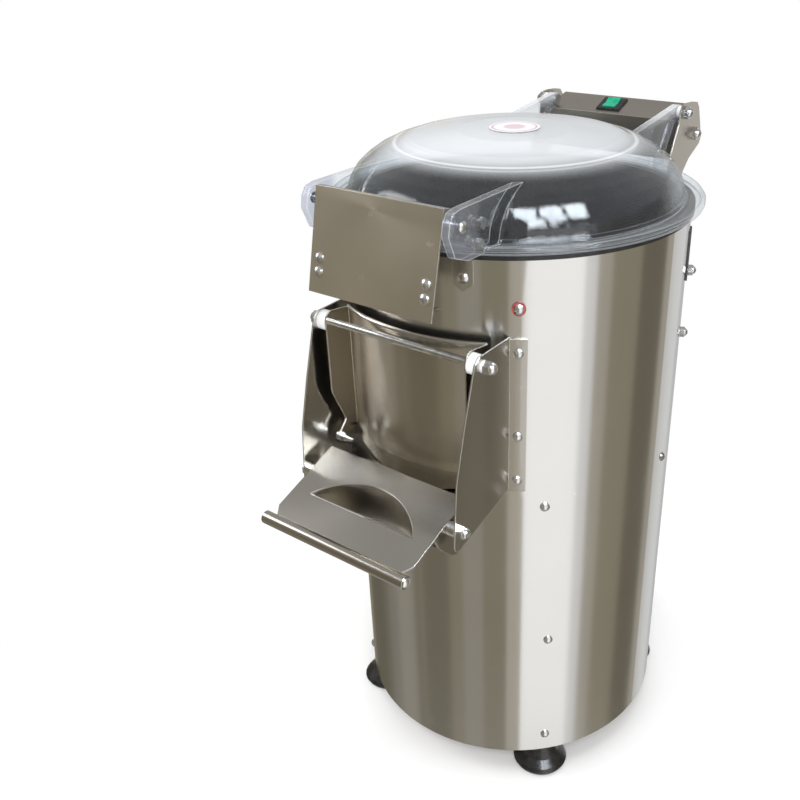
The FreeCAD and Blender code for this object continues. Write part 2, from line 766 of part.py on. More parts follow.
def make_lever():
    under = lever_top - lever_wall
    end = lever_reach - bar_radius + 1.0
    plate = lever_slab([(-lever_half, -lever_inner), (lever_half, -lever_inner), (lever_half, end - 12),
                        (lever_half - 8, end), (8 - lever_half, end), (-lever_half, end - 12)],
                       under, lever_wall)
    ends = [lever_point(x, hand_hole_edge, under - 1) for x in (-hand_hole_half, hand_hole_half)]
    crown = lever_point(0, hand_hole_crown, under - 1)
    edges = [Part.LineSegment(ends[0], ends[1]).toShape(), Part.Arc(ends[1], crown, ends[0]).toShape()]
    rise = lever_point(0, 0, lever_wall + 2) - lever_point(0, 0, 0)
    plate = plate.cut(Part.Face(Part.Wire(edges)).extrude(rise))
    ear = [(-lever_inner, lever_top), (24.0, lever_top), (22.7, -6.6), (18.2, -17.8), (10.5, -34.0),
           (4.0, -ear_drop), (-8.0, -38.0), (-20.0, -20.0), (-lever_inner, 2.0)]
    for side in SIDES:
        near, far = sorted((side * (lever_half - ear_wall), side * lever_half))
        corners = [lever_point(near, along, above) for along, above in ear]
        plate = plate.fuse(Part.Face(Part.makePolygon(corners + [corners[0]])).extrude(V(far - near, 0, 0)))
    plate = plate.removeSplitter()
    plate = drilled(plate, pivot_bolt_radius + running_fit, V(0, lever_pivot_y, lever_pivot_z), V(1, 0, 0), 300.0)
    bar_centre = lever_point(0, lever_reach, lever_top - lever_wall / 2)
    bar = cross_rod(bar_radius, -bar_half, bar_half, bar_centre.y, bar_centre.z)
    for side in SIDES:
        bar = drilled(bar, screw_radius, V(side * bar_half, bar_centre.y, bar_centre.z), V(1, 0, 0), 24.0)
    save("lever_plate", plate.cut(cross_rod(bar_radius, -bar_half, bar_half, bar_centre.y, bar_centre.z)))
    save("handle_bar", bar)
    save("bar_end_screws", [aim(dome_screw(12.0), V(side * bar_half, bar_centre.y, bar_centre.z), V(side, 0, 0))
                            for side in SIDES])
    make_lever_pivots()


def make_lever_pivots():
    """Bolts through the webs on which the lever turns, each with its washer and its nut."""
    pieces = []
    outer_face = web_inner + web_wall
    inner_face = lever_half - ear_wall - play
    gap = web_inner - lever_half - play
    for side, reach, nut in ((1, 11.0, cap_nut(big_nut_flats, big_nut_height)), (-1, 2.4, hexagon(big_nut_flats, 3.0))):
        across = V(side, 0, 0)
        bolt = Part.makeCylinder(pivot_bolt_radius, outer_face - inner_face + reach)
        bolt = bolt.fuse(Part.makeCylinder(6.5, 3.5, V(0, 0, -3.5)))
        pieces.append(aim(bolt, V(side * inner_face, lever_pivot_y, lever_pivot_z), across))
        washer = Part.makeCylinder(8.0, gap).cut(Part.makeCylinder(pivot_bolt_radius, gap))
        pieces.append(aim(washer, V(side * (lever_half + play), lever_pivot_y, lever_pivot_z), across))
        nut = nut.cut(Part.makeCylinder(pivot_bolt_radius, reach))
        pieces.append(aim(nut, V(side * outer_face, lever_pivot_y, lever_pivot_z), across))
    save("lever_pivot_bolts", pieces)


def lid_profile():
    """The outside of the lid as (radius, z) points, from the brim to the crown."""
    skirt = brim_height + brim_lip
    return [(brim_radius - brim_bead, brim_height), (brim_radius - brim_bead, brim_height - brim_lip),
            (brim_radius - 1.0, brim_height - brim_lip), (brim_radius, skirt - 2.0), (brim_radius, skirt + 1.0),
            (brim_radius - 1.5, skirt + 3.0), (brim_radius - brim_bead, skirt + 3.0),
            (brim_radius - brim_bead - 2.0, skirt + 0.8), (184.0, skirt + 0.8), (181.2, skirt + 4.0),
            (180.0, 658.0), (176.5, 667.0), (170.0, 677.0), (160.0, 686.0), (148.0, 694.0), (134.0, 700.5),
            (125.0, 702.5), (117.0, 706.0), (111.0, 707.5), (60.0, 712.0), (0.0, 713.5)]


def lid_inside():
    """The inside of the lid as (radius, z) points, from the crown to the brim."""
    return [(0.0, 713.5 - lid_wall), (60.0, 712.0 - lid_wall), (110.5, 707.5 - lid_wall),
            (116.0, 706.0 - lid_wall), (124.0, 702.5 - lid_wall), (133.0, 700.5 - lid_wall),
            (146.3, 694.0 - lid_wall + 0.4), (158.0, 686.0 - lid_wall + 0.8), (167.6, 677.0 - 1.8),
            (173.7, 665.9), (177.0, 657.2), (178.2, brim_height + 5.0), (181.5, brim_height)]


def make_lid():
    inside = lid_inside()
    lid = revolve(lid_profile() + inside)
    core = revolve([(0.0, 600.0), (brim_radius - brim_bead, 600.0), (brim_radius - brim_bead, brim_height)]
                   + list(reversed(inside)))
    front = [(-100.0, 688.0), (-112.0, 694.0), (-217.0, 692.5), (-228.0, 690.0), (-233.0, 682.0),
             (-235.0, 671.0), (-226.0, 650.0), (-207.0, brim_height), (-150.0, brim_height)]
    rear = [(100.0, 688.0), (112.0, 697.0), (hinge_y - 3, hinge_z + lug_radius),
            (hinge_y, hinge_z + lug_radius), (hinge_y, hinge_z - lug_radius), (hinge_y - 11, hinge_z - 12),
            (192.0, 668.0), (184.0, brim_height + 6.0), (150.0, brim_height + 2.0)]
    for side in SIDES:
        near, far = sorted((side * lug_half, side * (lug_half + lug_wall)))
        for outline in (front, rear):
            lid = lid.fuse(side_plate(outline, near, far).cut(core))
        lid = lid.fuse(cross_rod(lug_radius, near, far, hinge_y, hinge_z))
    lid = lid.removeSplitter()
    across = V(1, 0, 0)
    lid = drilled(lid, ear_bolt_radius, V(0, latch_pivot_y, latch_pivot_z), across, 300.0)
    for y, z in ear_bolt_places:
        lid = drilled(lid, ear_bolt_radius, V(0, y, z), across, 300.0)
    lid = drilled(lid, hinge_pin_radius + running_fit, V(0, hinge_y, hinge_z), across, 300.0)
    save("lid", lid)
    save("lid_label", Part.makeCylinder(label_radius, label_wall, V(0, 0, 713.5 + seat_gap / 2)))
    bolts = []
    for side in SIDES:
        for y, z in ear_bolt_places:
            bolt = Part.makeCylinder(ear_bolt_radius, lug_wall + 4.0, V(0, 0, -lug_wall - 4.0))
            inner = hexagon(nut_flats, 3.5)
            inner.translate(V(0, 0, -lug_wall - 3.5))
            bolt = bolt.fuse(hexagon(nut_flats, 4.0)).fuse(inner).removeSplitter()
            bolts.append(aim(bolt, V(side * (lug_half + lug_wall), y, z), V(side, 0, 0)))
    save("lid_ear_bolts", bolts)


def latch_frame(along, out):
    """A point of the latch plate, down its face from its top and out of its face."""
    run = V(0, latch_bottom_y - latch_top_y, latch_bottom_z - latch_top_z)
    run.normalize()
    outward = V(0, run.z, -run.y)
    return V(0, latch_top_y, latch_top_z) + run * along + outward * out


def make_latch():
    length = math.hypot(latch_bottom_y - latch_top_y, latch_bottom_z - latch_top_z)
    corners = [latch_frame(0, 0), latch_frame(length, 0), latch_frame(length, -latch_wall),
               latch_frame(latch_wall, -latch_wall), latch_frame(latch_wall, -latch_flange),
               latch_frame(0, -latch_flange)]
    points = [V(-latch_half, p.y, p.z) for p in corners]
    plate = Part.Face(Part.makePolygon(points + [points[0]])).extrude(V(2 * latch_half, 0, 0))
    for side in SIDES:
        near, far = sorted((side * (latch_half - latch_wall), side * latch_half))
        tab = [latch_frame(0, 0), latch_frame(32, 0), latch_frame(30, -12), latch_frame(22, -18),
               latch_frame(12, -20), latch_frame(3, -16), latch_frame(0, -latch_flange)]
        plate = plate.fuse(side_plate([(p.y, p.z) for p in tab], near, far))
        for drop in latch_screw_drops:
            spot = latch_frame(drop, 0) + V(side * latch_screw_x, 0, 0)
            outward = latch_frame(drop, 1) - latch_frame(drop, 0)
            plate = drilled(plate, screw_radius + hole_clearance, spot, outward, 20.0)
    plate = drilled(plate.removeSplitter(), ear_bolt_radius + running_fit,
                    V(0, latch_pivot_y, latch_pivot_z), V(1, 0, 0), 200.0)
    save("latch_plate", plate)
    screws = []
    hooks = []
    for side in SIDES:
        for drop in latch_screw_drops:
            outward = latch_frame(drop, 1) - latch_frame(drop, 0)
            spot = latch_frame(drop, seat_gap / 2) + V(side * latch_screw_x, 0, 0)
            screws.append(aim(dome_screw(7.0), spot, outward))
        hooks.append(make_hook(side))
    save("latch_screws", screws)
    save("latch_hooks", hooks)
    bolts = []
    start = latch_half - latch_wall - play
    for side in SIDES:
        bolt = Part.makeCylinder(ear_bolt_radius, lug_half + lug_wall - start + 1.0)
        bolt = bolt.fuse(hexagon(nut_flats, 3.5).translated(V(0, 0, -3.5)))
        bolt = bolt.fuse(dome_screw(1.0, 5.5).translated(V(0, 0, lug_half + lug_wall - start)))
        bolts.append(aim(bolt.removeSplitter(), V(side * start, latch_pivot_y, latch_pivot_z), V(side, 0, 0)))
    save("latch_pivot_bolts", bolts)


def make_hook(side):
    """A bent strip behind the latch plate, on its two screws, with a foot that points at the drum."""
    back = -latch_wall - seat_gap / 2
    strip = [latch_frame(61.0, back), latch_frame(92.0, back), latch_frame(92.0, back - 16.0),
             latch_frame(90.0, back - 16.0), latch_frame(90.0, back - 2.0), latch_frame(61.0, back - 2.0)]
    near, far = sorted((side * (latch_screw_x - 9.0), side * (latch_screw_x + 7.0)))
    hook = side_plate([(p.y, p.z) for p in strip], near, far)
    for drop in latch_screw_drops:
        outward = latch_frame(drop, 1) - latch_frame(drop, 0)
        spot = latch_frame(drop, 0) + V(side * latch_screw_x, 0, 0)
        hook = drilled(hook, screw_radius + hole_clearance, spot, outward, 24.0)
    return hook


def make_keepers():
    keepers = []
    for angle in keeper_angles:
        half = 3.0
        strip = sector(body_radius + seat_gap + 1.5, body_radius + seat_gap, 600.0, 632.0, angle - half, angle + half)
        middle = radial(angle).x * body_radius
        for lean in SIDES:
            corners = [V(middle, -220, 599.0), V(middle + lean * 15, -220, 599.0),
                       V(middle + lean * 15, -220, 612.0), V(middle, -220, 600.0)]
            strip = strip.cut(Part.Face(Part.makePolygon(corners + [corners[0]])).extrude(V(0, 60, 0)))
        strip = drum_holes(strip, (angle,), (keeper_screw_height,))
        keepers.append(strip)
    save("lid_keepers", keepers)


def make_gasket():
    inner = body_radius - body_wall - gasket_wall
    outer = body_radius + gasket_wall
    ring = tube(outer, inner, body_height - gasket_drop, gasket_height + gasket_drop)
    slot = tube(body_radius + seat_gap, body_radius - body_wall - seat_gap, body_height - gasket_drop,
                gasket_drop + seat_gap / 2)
    save("rim_gasket", ring.cut(slot))


def bracket_outline():
    return [(150.0, 592.0), (150.0, 630.0), (166.0, 630.0), (184.5, 634.0), (187.0, 655.0), (204.0, 690.0),
            (207.0, 707.0), (212.0, 712.0), (222.0, 712.0), (238.0, 711.0), (252.0, 708.5), (258.0, 702.0),
            (265.0, 684.0), (bracket_reach, 664.0), (268.0, 657.0), (241.0, 644.0), (226.0, 630.0),
            (200.0, 600.0), (190.0, 592.0)]


def make_brackets():
    names = {-1: "hinge_bracket_left", 1: "hinge_bracket_right"}
    inner = body_radius + seat_gap
    for side in SIDES:
        near, far = sorted((side * bracket_inner, side * (bracket_inner + bracket_wall)))
        plate = side_plate(bracket_outline(), near, far).cut(Part.makeCylinder(inner, body_height + 10))
        bend = 180 - math.degrees(math.asin((bracket_inner + bracket_wall / 2) / inner))
        start, end = sorted((side * bend, side * (bend - 8.0)))
        flange = sector(inner + bracket_wall, inner, 592.0, 630.0, start, end)
        plate = drum_holes(plate.fuse(flange).removeSplitter(), (side * 145.5,), bracket_screw_heights)
        for y, z in ((hinge_y, hinge_z), (box_bolt_y, box_bolt_z)):
            plate = drilled(plate, hinge_pin_radius + hole_clearance, V(side * bracket_inner, y, z), V(1, 0, 0), 20.0)
        save(names[side], plate)
    make_hinge_bolts()
    make_cover()


def make_hinge_bolts():
    bolts, lower = [], []
    start = lug_half - play
    outer = bracket_inner + bracket_wall
    for side in SIDES:
        across = V(side, 0, 0)
        bolt = Part.makeCylinder(hinge_pin_radius, outer - start + 3.0)
        bolt = bolt.fuse(cap_nut(big_nut_flats, 6.0).translated(V(0, 0, outer - start + seat_gap / 2)))
        bolt = bolt.fuse(Part.makeCylinder(6.5, 3.5, V(0, 0, -3.5))).removeSplitter()
        bolts.append(aim(bolt, V(side * start, hinge_y, hinge_z), across))
        stud = Part.makeCylinder(hinge_pin_radius, 14.0, V(0, 0, -14.0)).fuse(cap_nut(big_nut_flats, 6.0))
        lower.append(aim(stud, V(side * (outer + seat_gap / 2), box_bolt_y, box_bolt_z), across))
    save("hinge_bolts", bolts + lower)


def cover_skin(grow):
    """The block inside the switch box's cover, larger by grow on every outer face."""
    front_y = cover_front_y - grow
    rear_y = cover_rear_y + grow
    slope = (cover_rear_z - cover_front_z) / (cover_rear_y - cover_front_y)
    tail_y = 262.0 + grow
    outline = [(front_y, box_floor_z), (front_y, cover_front_z + grow - slope * grow),
               (rear_y, cover_rear_z + grow), (tail_y, 676.0), (tail_y, box_floor_z + 12),
               (tail_y - 14, box_floor_z)]
    block = side_plate(outline, -cover_front_half - grow, cover_front_half + grow)
    for side in SIDES:
        lead = (cover_front_half - cover_rear_half) / (cover_rear_y - cover_front_y)
        front_x = side * (cover_front_half + grow)
        rear_x = side * (cover_front_half + grow - lead * (tail_y - front_y))
        corners = [V(front_x, front_y, 600), V(front_x + side * 30, front_y, 600),
                   V(front_x + side * 30, tail_y + 5, 600), V(rear_x, tail_y + 5, 600)]
        wedge = Part.Face(Part.makePolygon(corners + [corners[0]])).extrude(V(0, 0, 200))
        block = block.cut(wedge)
    return block


def switch_place(height=0.0):
    """The middle of the switch on the sloping cover, and a height above it."""
    slope = math.atan2(cover_rear_z - cover_front_z, cover_rear_y - cover_front_y)
    return V(switch_x, cover_front_y + switch_along * math.cos(slope) - height * math.sin(slope),
             cover_front_z + switch_along * math.sin(slope) + height * math.cos(slope))


def on_switch(shape):
    """A shape drawn on z = 0, set on the cover's slope at the switch."""
    slope = math.degrees(math.atan2(cover_rear_z - cover_front_z, cover_rear_y - cover_front_y))
    placed = shape.copy()
    placed.Placement = Placement(switch_place(), Rotation(V(1, 0, 0), slope))
    return placed


def make_cover():
    cover = cover_skin(0).cut(cover_skin(-cover_wall))
    cut_out = box(-13.0, 13.0, -10.5, 10.5, -6.0, 6.0)
    cover = cover.cut(on_switch(cut_out))
    for side in SIDES:
        cover = drilled(cover, hinge_pin_radius + hole_clearance, V(side * 88, box_bolt_y, box_bolt_z), V(1, 0, 0), 30.0)
    save("switch_box", cover)
    floor = box(-80.0, 80.0, cover_front_y + cover_wall + play, 244.0, box_floor_z, box_floor_z + 1.5)
    save("switch_box_floor", floor.translated(V(0, 0, seat_gap)))
    make_switch()


def make_switch():
    frame = box(-bezel_width / 2, bezel_width / 2, -bezel_depth / 2, bezel_depth / 2, seat_gap / 2, bezel_height)
    frame = frame.makeChamfer(0.8, [e for e in frame.Edges if e.CenterOfMass.z > bezel_height - 0.1])
    barrel = box(-12.8, 12.8, -10.3, 10.3, -22.0, seat_gap)
    well = box(-rocker_width / 2 - play, rocker_width / 2 + play, -rocker_depth / 2 - play - 0.2,
               rocker_depth / 2 + play + 0.2, -9.0, bezel_height + 1)
    barrel = barrel.cut(cross_box_slots())
    socket = cross_rod(rocker_pin_radius + running_fit, -rocker_pin_half, rocker_pin_half, 0, rocker_pin_z)
    save("switch_bezel", on_switch(frame.fuse(barrel).cut(well).cut(socket).removeSplitter()))
    top = [(-rocker_depth / 2, 1.0), (-rocker_depth / 2 + 0.5, 3.6), (0.0, 2.4), (rocker_depth / 2 - 0.5, 4.6),
           (rocker_depth / 2, 1.0), (4.0, -4.0), (-4.0, -4.0)]
    rocker = side_plate(top, -rocker_width / 2, rocker_width / 2)
    rocker = rocker.fuse(cross_rod(rocker_pin_radius, play - rocker_pin_half, rocker_pin_half - play, 0, rocker_pin_z))
    save("switch_rocker", on_switch(rocker))


def cross_box_slots():
    """Two grooves in the switch barrel where its snap tongues flex."""
    slots = box(-13.5, -12.0, -4.0, 4.0, -16.0, -6.0)
    return slots.fuse(box(12.0, 13.5, -4.0, 4.0, -16.0, -6.0))


def make_electrics():
    rear = body_radius - body_wall
    gland = Part.makeCylinder(gland_radius, 24.0, V(0, 0, -10.0))
    gland = gland.fuse(hexagon(gland_flats, 5.0)).fuse(Part.makeCylinder(gland_radius + 0.6, 16.0))
    lock = hexagon(gland_flats, 4.0)
    lock.translate(V(0, 0, -body_wall - 4.0 - gland_seat))
    gland = gland.fuse(lock).cut(Part.makeCylinder(4.5, 60.0, V(0, 0, -30.0)))
    save("cable_gland", aim(gland, V(0, rear + body_wall + seat_gap, gland_height), V(0, 1, 0)))
    can = Part.makeCylinder(18.0, 78.0, V(-95.0, 60.0, base_wall))
    can = can.fuse(Part.makeCylinder(10.0, 84.0, V(-95.0, 60.0, base_wall)))
    save("run_capacitor", can.removeSplitter())


def make_side_fittings():
    clips = []
    for angle in side_bolt_angles:
        height = side_bolt_heights[0]
        strip = sector(body_radius + seat_gap + 2.0, body_radius + seat_gap, height - 9, height + 46, angle - 3, angle + 3)
        strip = drum_holes(strip, (angle,), (height,), 3.0 + hole_clearance)
        clips.append(strip)
    save("side_clips", clips)
    bolts = []
    for angle in side_bolt_angles:
        for height, seat in zip(side_bolt_heights, (2.0 + seat_gap, 0.0)):
            bolt = Part.makeCylinder(3.0, 6.0, V(0, 0, -6.0)).fuse(cap_nut(nut_flats, nut_height))
            spot = radial(angle) * (body_radius + seat + seat_gap) + V(0, 0, height)
            bolts.append(aim(bolt, spot, radial(angle)))
    save("side_bolts", bolts)


def make_drum_screws():
    """All dome-head screws that show on the drum, each on the sheet that it holds."""
    seat = body_radius + seat_gap / 2
    screws = drum_screws(leg_angles, leg_screw_heights, seat)
    screws += drum_screws(floor_screw_angles, (floor_screw_height,), seat)
    screws += drum_screws(web_screw_angles, web_screw_heights, body_radius + seat_gap + web_wall, 6.5)
    screws += drum_screws(web_screw_angles, (ring_screw_height,), body_radius + seat_gap + 1.5, 6.5)
    screws += drum_screws(keeper_angles, (keeper_screw_height,), body_radius + seat_gap + 1.5, 6.5)
    screws += drum_screws(bracket_screw_angles, bracket_screw_heights, body_radius + seat_gap + bracket_wall, 6.5)
    save("drum_screws", screws)


def main():
    os.makedirs("parts", exist_ok=True)
    make_shell()
    make_base()
    make_feet()
    make_legs()
    make_motor_plate()
    make_motor()
    make_drive()
    make_chamber()
    make_bearings()
    make_spinner()
    make_sill()
    make_seal()
    make_webs()
    make_door()
    make_bushes()
    make_lever()
    make_gasket()
    make_lid()
    make_latch()
    make_keepers()
    make_brackets()
    make_electrics()
    make_side_fittings()
    make_drum_screws()


bar_front = lever_point(0, lever_reach, lever_top - lever_wall / 2).y - bar_radius
frame_shift = V(0, -(bar_front + bracket_reach) / 2, foot_height)
main()
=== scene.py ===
import math

import bpy
from mathutils import Matrix, Vector
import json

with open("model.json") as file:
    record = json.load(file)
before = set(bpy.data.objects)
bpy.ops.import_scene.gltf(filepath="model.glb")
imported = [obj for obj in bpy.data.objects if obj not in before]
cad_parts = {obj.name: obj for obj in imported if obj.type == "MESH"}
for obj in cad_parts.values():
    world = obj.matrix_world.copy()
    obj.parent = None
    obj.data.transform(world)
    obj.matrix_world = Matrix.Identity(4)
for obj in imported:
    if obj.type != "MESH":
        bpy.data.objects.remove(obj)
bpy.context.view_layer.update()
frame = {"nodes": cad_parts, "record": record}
nodes = frame["nodes"]

# Metres: the drum's axis behind the frame's origin, its foot above the floor, and its radius.
AXIS_Y = 0.02833
FLOOR_TO_DRUM = 0.033
DRUM_RADIUS = 0.19
# The camera's place, measured from the drum's axis and its foot.
EYE = (0.5531, -0.8457, 0.9198)


# ---------------------------------------------------------------- nodes
def material(name):
    """A new node material, its tree and its surface shader."""
    made = bpy.data.materials.new(name)
    made.use_nodes = True
    return made, made.node_tree, made.node_tree.nodes["Principled BSDF"]


def node(tree, kind, **inputs):
    """A new node with its constant inputs set by name."""
    made = tree.nodes.new(kind)
    for key, value in inputs.items():
        made.inputs[key].default_value = value
    return made


def feed(tree, socket, value):
    """Sets a constant on the socket, or links another node's output to it."""
    if isinstance(value, bpy.types.NodeSocket):
        tree.links.new(value, socket)
    else:
        socket.default_value = value


def math_node(tree, operation, first, second=None, third=None):
    """The number that an operation makes of constants and other nodes' outputs."""
    made = tree.nodes.new("ShaderNodeMath")
    made.operation = operation
    for slot, value in enumerate((first, second, third)):
        if value is not None:
            feed(tree, made.inputs[slot], value)
    return made.outputs[0]


def vector_math(tree, operation, first, second=None):
    """The number that a length or a dot product makes of vectors."""
    made = tree.nodes.new("ShaderNodeVectorMath")
    made.operation = operation
    tree.links.new(first, made.inputs[0])
    if second is not None:
        tree.links.new(second, made.inputs[1])
    return made.outputs["Value"]


def mix(tree, kind, factor, first, second, blend="MIX"):
    """A blend of two numbers (FLOAT) or two colours (RGBA)."""
    made = tree.nodes.new("ShaderNodeMix")
    made.data_type = kind
    made.blend_type = blend
    low, high, result = {"FLOAT": (2, 3, 0), "RGBA": (6, 7, 2)}[kind]
    for slot, value in ((0, factor), (low, first), (high, second)):
        feed(tree, made.inputs[slot], value)
    return made.outputs[result]


def mix_shader(tree, factor, first, second):
    """One shader where the factor is 0 and the other where it is 1."""
    made = tree.nodes.new("ShaderNodeMixShader")
    for slot, value in enumerate((factor, first, second)):
        tree.links.new(value, made.inputs[slot])
    return made.outputs[0]


def map_range(tree, value, start=0.0, end=1.0, low=0.0, high=1.0, eased=False):
    """The value taken from the span start to end onto the span low to high."""
    spans = {"From Min": start, "From Max": end, "To Min": low, "To Max": high}
    made = node(tree, "ShaderNodeMapRange", **spans)
    made.interpolation_type = "SMOOTHSTEP" if eased else "LINEAR"
    tree.links.new(value, made.inputs["Value"])
    return made.outputs[0]


def ramp(tree, factor, stops, smooth=True):
    """A ramp of colours from (place, colour) stops."""
    made = tree.nodes.new("ShaderNodeValToRGB")
    made.color_ramp.interpolation = "EASE" if smooth else "LINEAR"
    elements = made.color_ramp.elements
    while len(elements) > len(stops):
        elements.remove(elements[-1])
    while len(elements) < len(stops):
        elements.new(1.0)
    for element, (place, colour) in zip(elements, stops):
        element.position = place
        element.color = (*colour, 1.0)
    tree.links.new(factor, made.inputs["Fac"])
    return made.outputs["Color"]


def object_place(tree):
    """Coordinates that belong to the piece and move with it."""
    return tree.nodes.new("ShaderNodeTexCoord").outputs["Object"]


def noise(tree, place, scale, detail, roughness=0.5):
    """A cloudy value round 0.5."""
    made = node(tree, "ShaderNodeTexNoise", Scale=scale, Detail=detail, Roughness=roughness)
    tree.links.new(place, made.inputs["Vector"])
    return made.outputs["Fac"]


def reach_from(tree, place, x, y):
    """How far each point is from an upright line through x and y."""
    flat = node(tree, "ShaderNodeMapping", Location=(-x, -y, 0.0), Scale=(1.0, 1.0, 0.0))
    tree.links.new(place, flat.inputs["Vector"])
    return vector_math(tree, "LENGTH", flat.outputs["Vector"])


def relief(tree, height, strength, distance):
    """A normal that follows the height a little."""
    made = node(tree, "ShaderNodeBump", Strength=strength, Distance=distance)
    tree.links.new(height, made.inputs["Height"])
    return made.outputs[0]


def bevel(tree, radius, samples):
    """A normal that is rounded over by the radius where faces meet."""
    made = node(tree, "ShaderNodeBevel", Radius=radius)
    made.samples = samples
    return made.outputs[0]


def edge_mask(tree, radius, full, none):
    """A rounded normal, and a mask of the edges: 1 where that normal leaves the face's own."""
    rounded = bevel(tree, radius, 4)
    own = tree.nodes.new("ShaderNodeNewGeometry").outputs["Normal"]
    turn = vector_math(tree, "DOT_PRODUCT", rounded, own)
    return rounded, ramp(tree, turn, [(full, (1, 1, 1)), (none, (0, 0, 0))], smooth=False)


def around_one(tree, value, amount):
    """The value with its swing scaled to the amount and its middle moved to 1."""
    return math_node(tree, "MULTIPLY_ADD", value, amount, 1.0 - amount / 2)


def grey(value, warm=0.0):
    """A grey that leans to yellow by the share warm."""
    return (value * (1 + warm), value, value * (1 - 1.6 * warm))


# ---------------------------------------------------------------- materials
# Noise scales along and across the brushing, and the one for the angle round the drum.
GRAIN_ALONG = 14.0
GRAIN_ACROSS = 1500.0
GRAIN_TURN = 2.5


def grain_coordinates(tree, direction):
    """Coordinates for the grain, dense across the brushing, and the piece's own."""
    place = object_place(tree)
    if direction == "drum":
        split = tree.nodes.new("ShaderNodeSeparateXYZ")
        tree.links.new(place, split.inputs[0])
        back = math_node(tree, "SUBTRACT", split.outputs["Y"], AXIS_Y)
        turn = math_node(tree, "ARCTAN2", split.outputs["X"], back)
        height = split.outputs["Z"]
        joined = tree.nodes.new("ShaderNodeCombineXYZ")
        tree.links.new(math_node(tree, "MULTIPLY", turn, GRAIN_TURN), joined.inputs[0])
        tree.links.new(math_node(tree, "MULTIPLY", height, GRAIN_ACROSS), joined.inputs[2])
        return joined.outputs[0], place
    scale = [GRAIN_ALONG if axis == direction else GRAIN_ACROSS for axis in "xyz"]
    mapping = node(tree, "ShaderNodeMapping", Scale=scale)
    tree.links.new(place, mapping.inputs["Vector"])
    return mapping.outputs["Vector"], place


SMEAR_SHEEN = 0.08
MARK_SHEEN = 0.05
# The near-white colour of the painted highlight on the steel's edges.
PAINTED_EDGE_HIGHLIGHT = (0.95, 0.94, 0.91, 1.0)


def steel(name, direction, tone, warm=0.02, rough=0.22, stretch=0.75, grain=0.05, wear=0.1,
          edge=0.0):
    """Brushed stainless sheet with fine grain, faint smears and an uneven sheen.

    Where edge gives a radius, its edges are rounded by that much and brightened with a painted
    highlight.
    """
    made, tree, surface = material(name)
    links = tree.links
    grained, place = grain_coordinates(tree, direction)
    fine = noise(tree, grained, 1.0, 5.0, 0.7)
    smear = noise(tree, place, 7.0, 3.0, 0.55)
    mark = noise(tree, place, 60.0, 2.0)
    dull = ramp(tree, mark, [(0.62, (0, 0, 0)), (0.78, (1, 1, 1))])
    shade = math_node(tree, "MULTIPLY", around_one(tree, fine, grain),
                      around_one(tree, smear, wear))
    colour = mix(tree, "RGBA", 1.0, (*grey(tone, warm), 1.0), shade, "MULTIPLY")
    if edge:
        # Painted highlight: the colour is mixed towards near-white where the rounded normal turns
        # at the edges.
        normal, rim = edge_mask(tree, edge, 0.86, 0.985)
        colour = mix(tree, "RGBA", rim, colour, PAINTED_EDGE_HIGHLIGHT)
    else:
        normal = relief(tree, fine, 0.02, 0.0002)
    links.new(colour, surface.inputs["Base Color"])
    links.new(normal, surface.inputs["Normal"])
    uneven = math_node(tree, "MULTIPLY_ADD", smear, SMEAR_SHEEN, rough - SMEAR_SHEEN / 2)
    uneven = math_node(tree, "MULTIPLY_ADD", dull, MARK_SHEEN, uneven)
    uneven = math_node(tree, "MULTIPLY_ADD", fine, grain, uneven)
    links.new(uneven, surface.inputs["Roughness"])
    surface.inputs["Metallic"].default_value = 1.0
    surface.inputs["Anisotropic"].default_value = stretch
    surface.inputs["Anisotropic Rotation"].default_value = 0.25
    tangent = tree.nodes.new("ShaderNodeTangent")
    tangent.direction_type = "RADIAL"
    tangent.axis = "Z"
    links.new(tangent.outputs[0], surface.inputs["Tangent"])
    return made


def plain(name, low, high, scale, rough=(0.3, 0.45), metallic=0.0, bumped=0.0, coat=0.0):
    """A dielectric or turned metal whose colour, sheen and relief vary with a noise."""
    made, tree, surface = material(name)
    links = tree.links
    grain = noise(tree, object_place(tree), scale, 4.0, 0.6)
    links.new(ramp(tree, grain, [(0.3, low), (0.7, high)]), surface.inputs["Base Color"])
    sheen = map_range(tree, grain, low=rough[0], high=rough[1])
    links.new(sheen, surface.inputs["Roughness"])
    surface.inputs["Metallic"].default_value = metallic
    surface.inputs["Coat Weight"].default_value = coat
    if bumped:
        links.new(relief(tree, grain, bumped, 0.0008), surface.inputs["Normal"])
    return made


